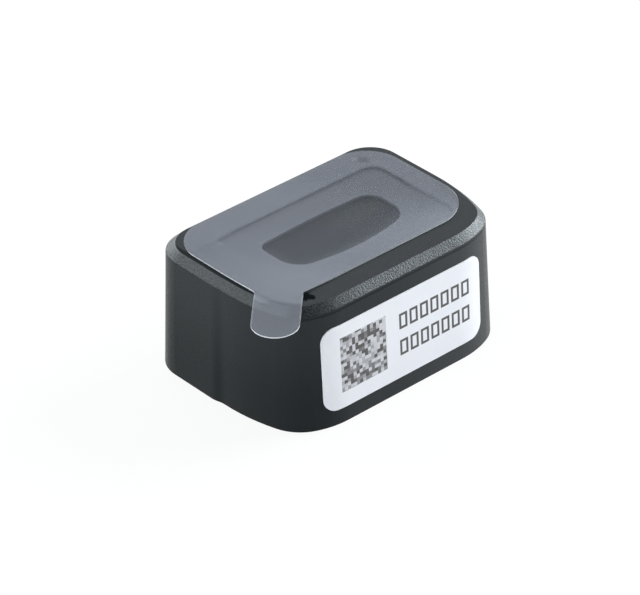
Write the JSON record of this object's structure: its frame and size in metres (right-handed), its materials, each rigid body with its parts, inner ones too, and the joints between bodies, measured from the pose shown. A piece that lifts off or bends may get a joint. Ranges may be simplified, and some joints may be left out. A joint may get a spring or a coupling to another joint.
{
  "type": "single-point lidar sensor",
  "caption": "Small black distance sensor block with a dark window under a peel-off film, a bare side label and a flip-lock flat-cable socket behind.",
  "frame": {"origin": "middle of the casing's rear face, the face it lies on", "axes": "+Z along the optical axis out of the window, +X along the long side, the label on the -Y side, the cable leaves towards +Y"},
  "size_m": [0.0227, 0.0154, 0.0095],
  "materials": {
    "housing_plastic": "fine moulded texture, satin",
    "cover_plastic": "fine moulded texture, satin",
    "window_plastic": "polished, infrared-clear, looks black",
    "film_plastic": "frosted translucent film",
    "label_paper": "smooth white synthetic paper",
    "adhesive_tape": "black die-cut tape",
    "seal_foam": "closed-cell foam",
    "barrel_plastic": "dull black moulding",
    "lens_glass": "polished, coated",
    "filter_glass": "band-pass coated glass",
    "board_laminate": "green solder mask on glass-fibre board",
    "chip_moulding": "black epoxy moulding",
    "ceramic": "ceramic with plated ends",
    "metal_can": "plated can",
    "screw_steel": "blackened steel",
    "contact_plating": "gold-plated spring bronze",
    "anchor_metal": "tinned steel",
    "socket_plastic": "heat-resistant nylon, ivory",
    "latch_plastic": "heat-resistant nylon, dark"
  },
  "bodies": {
    "sensor": {"top_housing": "housing_plastic", "rear_cover": "cover_plastic", "case_screws": "screw_steel", "ir_window": "window_plastic", "window_tape": "adhesive_tape", "light_seal": "seal_foam", "optics_holder": "barrel_plastic", "transmit_lens": "lens_glass", "receive_lens": "lens_glass", "receive_filter": "filter_glass", "main_board": "board_laminate", "laser_emitter": "ceramic", "receiver_chip": "chip_moulding", "controller_chip": "chip_moulding", "laser_driver": "chip_moulding", "voltage_regulator": "chip_moulding", "power_inductor": "chip_moulding", "clock_crystal": "metal_can", "front_capacitors": "ceramic", "front_resistors": "chip_moulding", "rear_capacitors": "ceramic", "connector_body": "socket_plastic", "connector_contacts": "contact_plating", "connector_anchors": "anchor_metal", "side_label": "label_paper"},
    "latch": {"connector_latch": "latch_plastic"},
    "film": {"protective_film": "film_plastic"}
  },
  "joints": [
    {"name": "latch_hinge", "type": "hinge", "parent": "sensor", "child": "latch", "pos_m": [0, 0.00315, 0.00082], "axis": [1, 0, 0], "range_deg": [0, 95]},
    {"name": "film_lift", "type": "slide", "parent": "sensor", "child": "film", "axis": [0, 0, 1], "range_m": [0, 0.012]}
  ]
}
